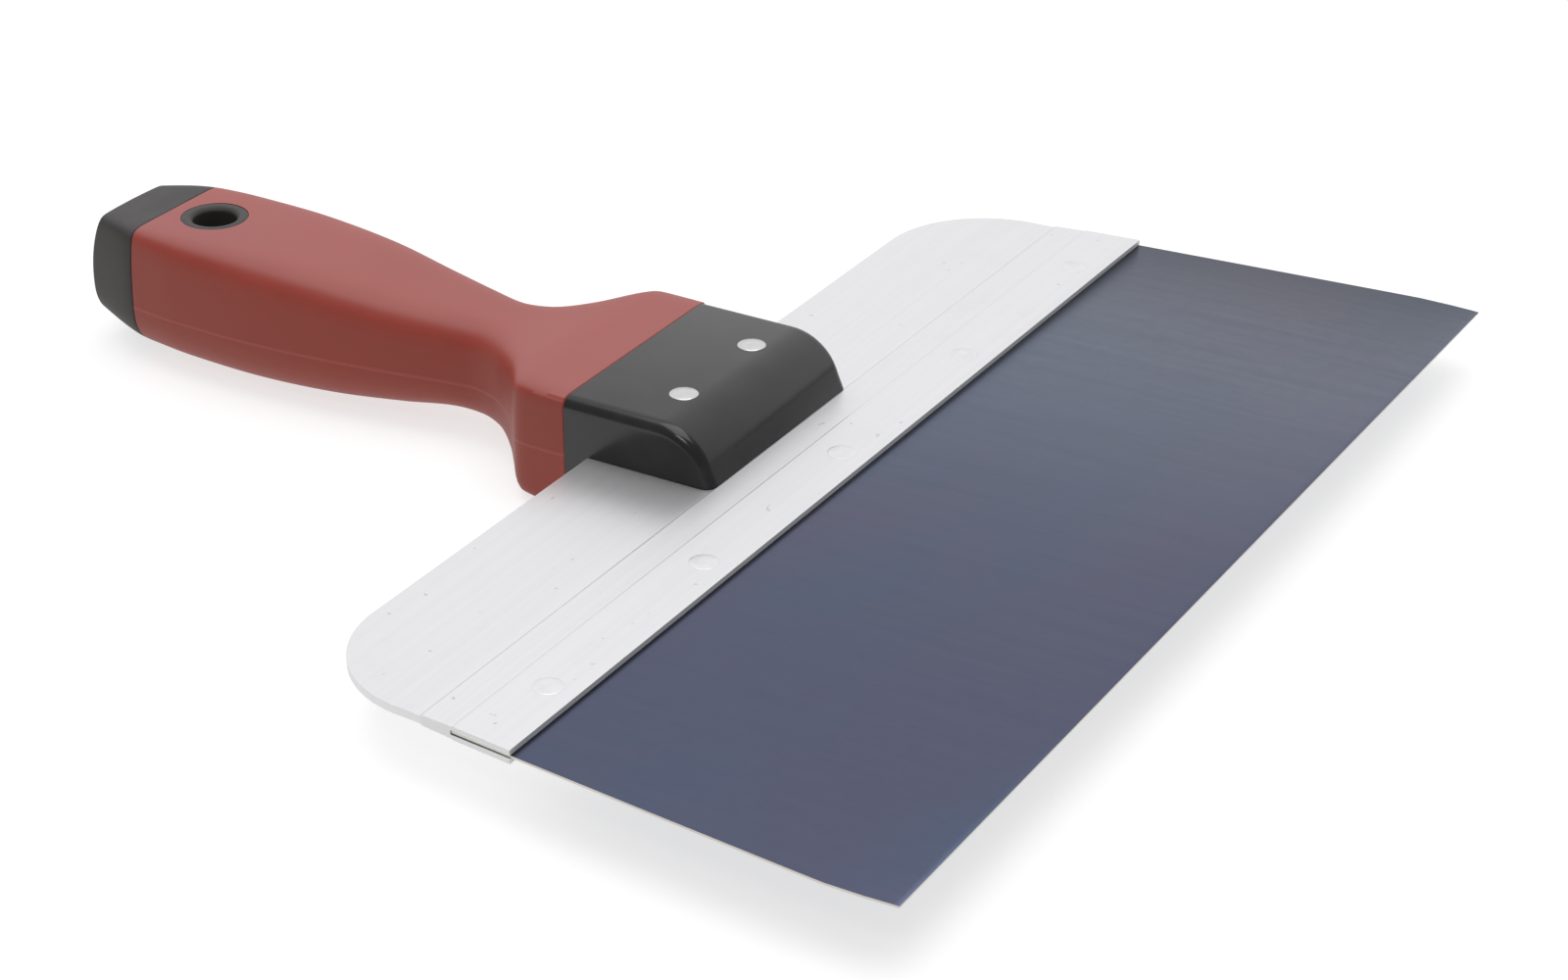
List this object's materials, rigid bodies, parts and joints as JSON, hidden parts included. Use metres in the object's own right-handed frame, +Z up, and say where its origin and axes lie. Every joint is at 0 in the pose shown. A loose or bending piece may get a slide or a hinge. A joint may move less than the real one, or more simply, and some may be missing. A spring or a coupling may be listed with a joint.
{
  "type": "taping knife",
  "caption": "Wide flat taping knife: flared thin steel blade riveted in an aluminium backing, with a soft-grip handle and a hang hole in its end.",
  "frame": {"origin": "on the surface that the tool lies on, under the middle of its bounding box; the blade's middle plane is 13.2 mm above it and the backing's front edge 54 mm ahead of it", "axes": "+X along the tool towards the cutting edge, +Y across the blade, +Z up; symmetric about the XZ plane"},
  "size_m": [0.2604, 0.2548, 0.0303],
  "materials": {
    "blued_steel": "satin",
    "mill_aluminium": "satin",
    "rivet_metal": "satin",
    "hard_plastic": "gloss",
    "soft_grip": "satin"
  },
  "bodies": {
    "root": {"blade": "blued_steel", "backing": "mill_aluminium", "blade_rivet_1": "rivet_metal", "blade_rivet_2": "rivet_metal", "blade_rivet_3": "rivet_metal", "blade_rivet_4": "rivet_metal", "blade_rivet_5": "rivet_metal", "handle_rivet_right": "rivet_metal", "handle_rivet_left": "rivet_metal", "handle_core": "hard_plastic", "grip_sleeve": "soft_grip"}
  },
  "joints": []
}
